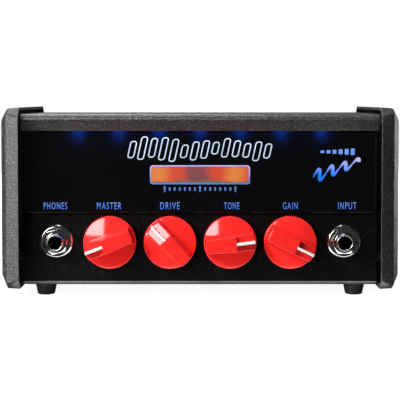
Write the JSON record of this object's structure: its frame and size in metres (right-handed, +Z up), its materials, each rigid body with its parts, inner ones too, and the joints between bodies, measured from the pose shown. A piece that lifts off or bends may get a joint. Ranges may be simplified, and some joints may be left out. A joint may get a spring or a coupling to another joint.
{
  "type": "guitar amplifier head",
  "caption": "Desktop guitar amplifier head: black steel box between bevelled side cheeks, with an edge-lit acrylic fascia, red pointer knobs and quarter-inch sockets.",
  "frame": {"origin": "on the table, under the middle of the box", "axes": "+Z up, the controls face -Y, +X to the right when facing the controls"},
  "size_m": [0.195, 0.108, 0.094],
  "materials": {
    "cheek_paint": "black leather-grain powder coat",
    "steel_paint": "black fine-texture powder coat",
    "zinc_steel": "zinc-plated sheet",
    "fascia_acrylic": "glossy acrylic, printed black behind, with lit engraving",
    "window_amber": "glowing orange-red light guide",
    "circuit_board": "green solder mask",
    "lamp": "clear diode lens",
    "knob_red": "glossy moulded red",
    "pointer_white": "moulded white",
    "bare_steel": "bright zinc",
    "socket_nickel": "polished nickel plate",
    "socket_body": "moulded black body with a nickel bushing",
    "contact_metal": "spring contacts",
    "black_plastic": "moulded",
    "rocker_red": "moulded, satin",
    "capacitor_sleeve": "shrink sleeve",
    "heat_sink_alloy": "black-grey anodised",
    "standoff_brass": "turned hexagon bar",
    "black_screws": "black oxide",
    "foot_rubber": "moulded black rubber"
  },
  "bodies": {
    "enclosure": {"left_cheek": "cheek_paint", "right_cheek": "cheek_paint", "top_cover": "steel_paint", "chassis": "steel_paint", "left_side_plate": "zinc_steel", "right_side_plate": "zinc_steel", "fascia": "fascia_acrylic", "glow_window": "window_amber", "glow_board": "circuit_board", "led_board": "circuit_board", "main_board": "circuit_board", "glow_leds": "lamp", "leds": "lamp", "pot_volume": "bare_steel", "pot_drive": "bare_steel", "pot_tone": "bare_steel", "pot_gain": "bare_steel", "pot_washers": "bare_steel", "pot_nuts": "bare_steel", "board_screws": "bare_steel", "foot_screws": "bare_steel", "aux_nut": "bare_steel", "dc_inlet_nut": "bare_steel", "jack_washers": "socket_nickel", "jack_nuts": "socket_nickel", "phones_jack": "socket_body", "input_jack": "socket_body", "speaker_jack": "socket_body", "jack_contacts": "contact_metal", "aux_jack": "black_plastic", "dc_inlet": "black_plastic", "power_switch": "black_plastic", "resonance_switch": "black_plastic", "chips": "black_plastic", "ribbon_cable": "black_plastic", "chokes": "black_plastic", "capacitors": "capacitor_sleeve", "heat_sink": "heat_sink_alloy", "cheek_spacers": "heat_sink_alloy", "board_standoffs": "standoff_brass", "cover_screws": "black_screws", "cheek_screws": "black_screws", "foot_front_left": "foot_rubber", "foot_front_right": "foot_rubber", "foot_rear_left": "foot_rubber", "foot_rear_right": "foot_rubber"},
    "volume_control": {"knob_volume": "knob_red", "pointer_volume": "pointer_white", "shaft_volume": "bare_steel"},
    "drive_control": {"knob_drive": "knob_red", "pointer_drive": "pointer_white", "shaft_drive": "bare_steel"},
    "tone_control": {"knob_tone": "knob_red", "pointer_tone": "pointer_white", "shaft_tone": "bare_steel"},
    "gain_control": {"knob_gain": "knob_red", "pointer_gain": "pointer_white", "shaft_gain": "bare_steel"},
    "rocker": {"power_rocker": "rocker_red"},
    "button": {"resonance_button": "black_plastic"}
  },
  "joints": [
    {"name": "volume_turn", "type": "hinge", "parent": "enclosure", "child": "volume_control", "pos_m": [-0.04455, -0.0375, 0.0273], "axis": [0, 1, 0], "range_deg": [-39, 261]},
    {"name": "drive_turn", "type": "hinge", "parent": "enclosure", "child": "drive_control", "pos_m": [-0.01485, -0.0375, 0.0273], "axis": [0, 1, 0], "range_deg": [-105, 195]},
    {"name": "tone_turn", "type": "hinge", "parent": "enclosure", "child": "tone_control", "pos_m": [0.01485, -0.0375, 0.0273], "axis": [0, 1, 0], "range_deg": [-234, 66]},
    {"name": "gain_turn", "type": "hinge", "parent": "enclosure", "child": "gain_control", "pos_m": [0.04455, -0.0375, 0.0273], "axis": [0, 1, 0], "range_deg": [-266, 34]},
    {"name": "power_rock", "type": "hinge", "parent": "enclosure", "child": "rocker", "pos_m": [0.062, 0.0474, 0.032], "axis": [1, 0, 0], "range_deg": [-18, 0]},
    {"name": "resonance_press", "type": "slide", "parent": "enclosure", "child": "button", "axis": [0, -1, 0], "range_m": [0, 0.0016], "stiffness_N_per_m": 400, "springref_m": -0.001}
  ]
}
